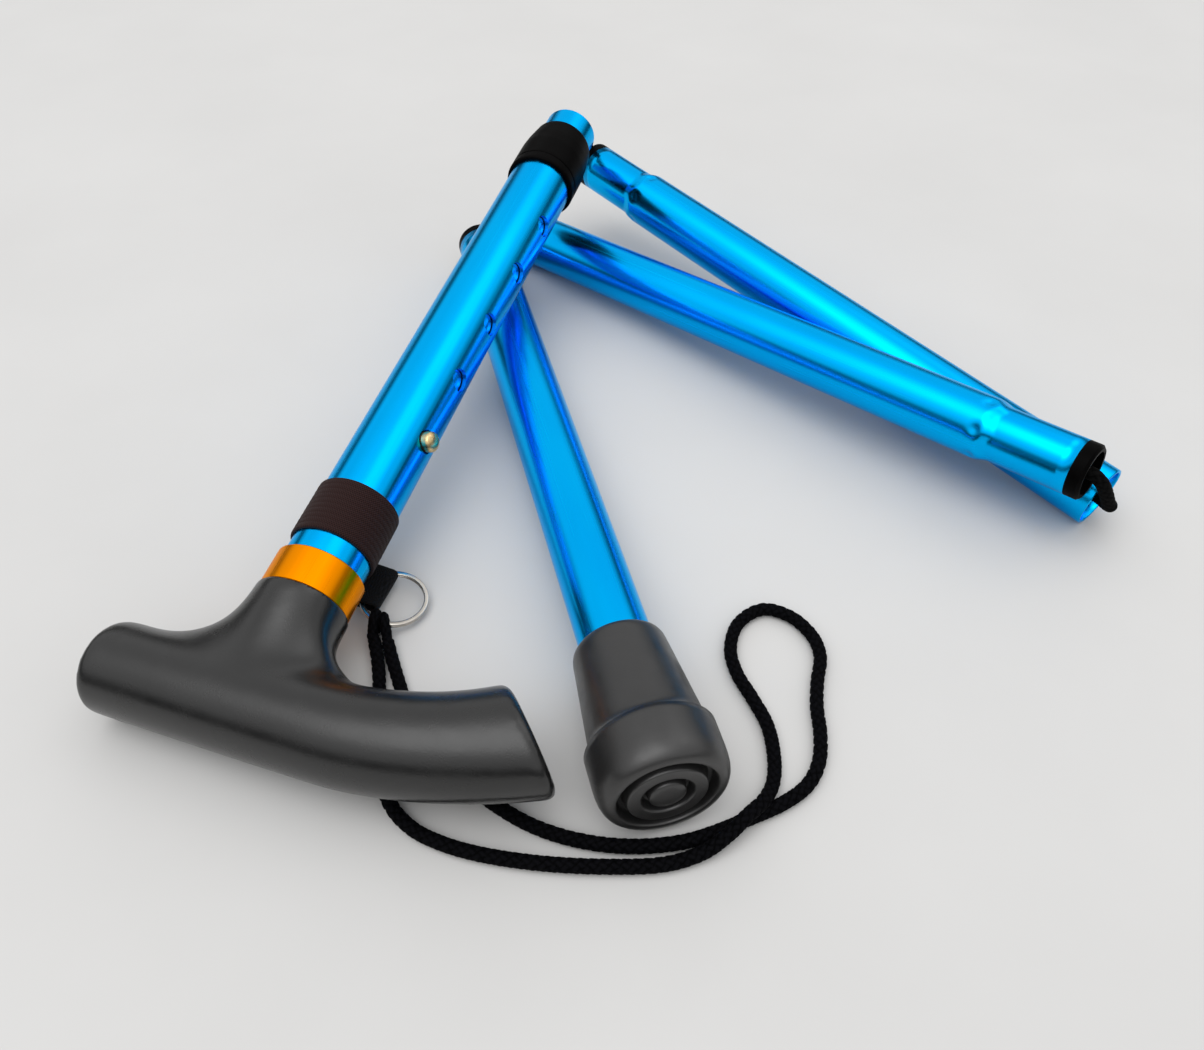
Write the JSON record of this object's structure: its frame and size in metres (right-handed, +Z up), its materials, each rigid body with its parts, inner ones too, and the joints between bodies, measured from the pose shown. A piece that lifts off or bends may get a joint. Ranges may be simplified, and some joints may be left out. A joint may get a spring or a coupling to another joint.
{
  "type": "folding cane",
  "caption": "Folding walking cane with a T grip, telescoping upper tube with a snap button, lower tubes strung on elastic, wrist cord and rubber tip, lying part folded.",
  "frame": {"origin": "on the floor, at the middle of the part-folded cane's box", "axes": "+Z up from the floor, +X to the right and +Y away as the cane lies"},
  "size_m": [0.2807, 0.2885, 0.0557],
  "materials": {
    "grip": "fine matt moulded grip",
    "gold": "gold anodised",
    "blue": "blue anodised, glossy",
    "black_plastic": "smooth black moulding",
    "elastic": "woven elastic",
    "webbing": "woven tape",
    "nickel": "nickel plated wire",
    "cord": "round braid",
    "spring_steel": "rolled strip",
    "brass": "pale brass, worn",
    "tip_rubber": "matt rubber"
  },
  "bodies": {
    "handle_section": {"handle": "grip", "collar": "gold", "outer_tube": "blue", "elastic_band": "elastic", "webbing_loop": "webbing", "cord_hitch": "cord", "wrist_cord": "cord"},
    "lock_ring": {"lock_ring": "black_plastic"},
    "strap_ring": {"split_ring": "nickel"},
    "inner_tube": {"inner_tube": "blue", "button_spring": "spring_steel", "anchor_top": "black_plastic", "elastic_1": "elastic"},
    "snap_button": {"snap_button": "brass"},
    "cord_link_a": {"elastic_span_a": "elastic"},
    "section_2": {"tube_2": "blue", "plug_2": "black_plastic", "elastic_2": "elastic"},
    "cord_link_b": {"elastic_span_b": "elastic"},
    "section_3": {"tube_3": "blue", "plug_3": "black_plastic", "elastic_3": "elastic"},
    "section_4": {"tube_4": "blue", "plug_4": "black_plastic", "elastic_4": "elastic", "anchor_low": "black_plastic", "rubber_tip": "tip_rubber", "tip_washer": "spring_steel", "elastic_span_c": "elastic"}
  },
  "joints": [
    {"name": "height_slide", "type": "slide", "parent": "handle_section", "child": "inner_tube", "axis": [0.2834, 0.9506, 0.1268], "range_m": [0, 0.1016], "deforming": ["snap_button", "button_spring", "wrist_cord"]},
    {"name": "button_press", "type": "slide", "parent": "inner_tube", "child": "snap_button", "axis": [-0.9112, 0.3081, -0.2734], "range_m": [0, 0.0035], "stiffness_N_per_m": 400, "deforming": ["button_spring"]},
    {"name": "fold_a", "type": "hinge", "parent": "inner_tube", "child": "cord_link_a", "pos_m": [-0.02378, 0.13442, 0.02889], "axis": [0.1124, -0.0972, 0.9889], "range_deg": [0, 121.84], "deforming": ["elastic_span_a", "elastic_span_b", "elastic_span_c", "wrist_cord"]},
    {"name": "lift_a", "type": "slide", "parent": "cord_link_a", "child": "section_2", "axis": [0.1124, -0.0972, 0.9889], "range_m": [0, 0.01846], "deforming": ["elastic_span_a"]},
    {"name": "fold_b", "type": "hinge", "parent": "section_2", "child": "cord_link_b", "pos_m": [0.13198, -0.04132, 0.02678], "axis": [0.0034, -0.0034, 1], "range_deg": [0, 174.91], "deforming": ["elastic_span_b"]},
    {"name": "lift_b", "type": "slide", "parent": "cord_link_b", "child": "section_3", "axis": [-0.0034, 0.0034, -1], "range_m": [0, 0.01823], "deforming": ["elastic_span_b"]},
    {"name": "fold_c", "type": "hinge", "parent": "section_3", "child": "section_4", "pos_m": [-0.05649, 0.1123, 0.00951], "axis": [0.0149, -0.052, -0.9985], "range_deg": [0, 147.69], "deforming": ["elastic_span_c"]},
    {"name": "ring_turn", "type": "hinge", "parent": "handle_section", "child": "strap_ring", "pos_m": [-0.07097, -0.06967, 0.00357], "axis": [0.1334, -0.0398, 0.9903], "continuous": true},
    {"name": "lock_ring_turn", "type": "hinge", "parent": "handle_section", "child": "lock_ring", "pos_m": [-0.03785, 0.09066, 0.04174], "axis": [0.2834, 0.9506, 0.1268], "range_deg": [0, 120]}
  ],
  "couplings": [
    {"joint": "lift_a", "follows": "fold_a", "m_per_rad": 0.0086753},
    {"joint": "fold_b", "follows": "fold_a", "ratio": 1.4355},
    {"joint": "lift_b", "follows": "fold_a", "m_per_rad": 0.0085696},
    {"joint": "fold_c", "follows": "fold_a", "ratio": 1.2121}
  ]
}
